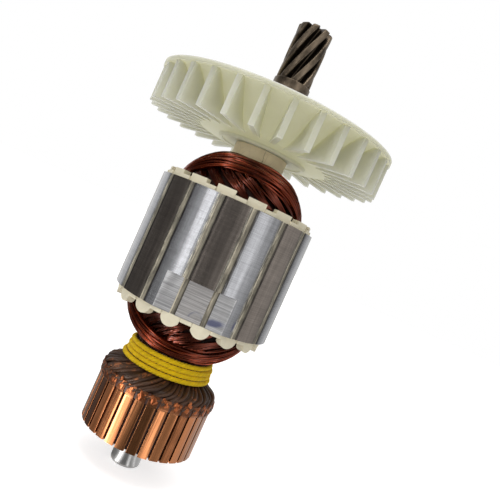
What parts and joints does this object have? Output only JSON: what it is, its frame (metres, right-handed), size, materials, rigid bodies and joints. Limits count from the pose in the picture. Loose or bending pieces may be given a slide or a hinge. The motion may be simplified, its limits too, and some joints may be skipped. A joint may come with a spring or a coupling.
{
  "type": "motor armature",
  "caption": "Wound rotor of a universal motor: slotted steel core, copper windings, commutator, moulded radial fan and a shaft with a helical pinion.",
  "frame": {"origin": "middle of the commutator-end bearing seat, on the shaft's axis", "axes": "+Z along the shaft from the commutator to the pinion, -Y towards the balancing flat on the core"},
  "size_m": [0.0636, 0.0636, 0.1241],
  "materials": {
    "machined_steel": "ground bearing seats, oily dark pinion teeth",
    "sleeve_plastic": "cream moulded sleeve, finely crazed",
    "core_steel": "turned bright laminations",
    "fibre_board": "pressed fibre, matt",
    "liner_paper": "thin insulating paper",
    "wedge_fibre": "cream insulating strip, satin",
    "enamelled_wire": "glossy red-brown enamel on copper wire",
    "bonded_leads": "dark resin over wire leads",
    "yellow_cotton": "twisted cotton cord",
    "moulding": "dark phenolic moulding",
    "fan_nylon": "natural translucent nylon, satin",
    "bar_copper": "turned copper, warm tarnish"
  },
  "bodies": {
    "root": {"shaft": "machined_steel", "shaft_insulator": "sleeve_plastic", "lamination_stack": "core_steel", "end_plate_fan_side": "fibre_board", "end_plate_commutator_side": "fibre_board", "slot_liners": "liner_paper", "armature_winding": "enamelled_wire", "lead_collar": "bonded_leads", "lashing_cord": "yellow_cotton", "commutator_hub": "moulding", "cooling_fan": "fan_nylon", "commutator_bar_01": "bar_copper", "commutator_bar_02": "bar_copper", "commutator_bar_03": "bar_copper", "commutator_bar_04": "bar_copper", "commutator_bar_05": "bar_copper", "commutator_bar_06": "bar_copper", "commutator_bar_07": "bar_copper", "commutator_bar_08": "bar_copper", "commutator_bar_09": "bar_copper", "commutator_bar_10": "bar_copper", "commutator_bar_11": "bar_copper", "commutator_bar_12": "bar_copper", "commutator_bar_13": "bar_copper", "commutator_bar_14": "bar_copper", "commutator_bar_15": "bar_copper", "commutator_bar_16": "bar_copper", "commutator_bar_17": "bar_copper", "commutator_bar_18": "bar_copper", "commutator_bar_19": "bar_copper", "commutator_bar_20": "bar_copper", "commutator_bar_21": "bar_copper", "commutator_bar_22": "bar_copper", "commutator_bar_23": "bar_copper", "commutator_bar_24": "bar_copper", "commutator_bar_25": "bar_copper", "commutator_bar_26": "bar_copper", "commutator_bar_27": "bar_copper", "commutator_bar_28": "bar_copper", "commutator_bar_29": "bar_copper", "commutator_bar_30": "bar_copper", "commutator_bar_31": "bar_copper", "commutator_bar_32": "bar_copper", "slot_wedge_01": "wedge_fibre", "slot_wedge_02": "wedge_fibre", "slot_wedge_03": "wedge_fibre", "slot_wedge_04": "wedge_fibre", "slot_wedge_05": "wedge_fibre", "slot_wedge_06": "wedge_fibre", "slot_wedge_07": "wedge_fibre", "slot_wedge_08": "wedge_fibre", "slot_wedge_09": "wedge_fibre", "slot_wedge_10": "wedge_fibre", "slot_wedge_11": "wedge_fibre", "slot_wedge_12": "wedge_fibre", "slot_wedge_13": "wedge_fibre", "slot_wedge_14": "wedge_fibre", "slot_wedge_15": "wedge_fibre", "slot_wedge_16": "wedge_fibre"}
  },
  "joints": []
}
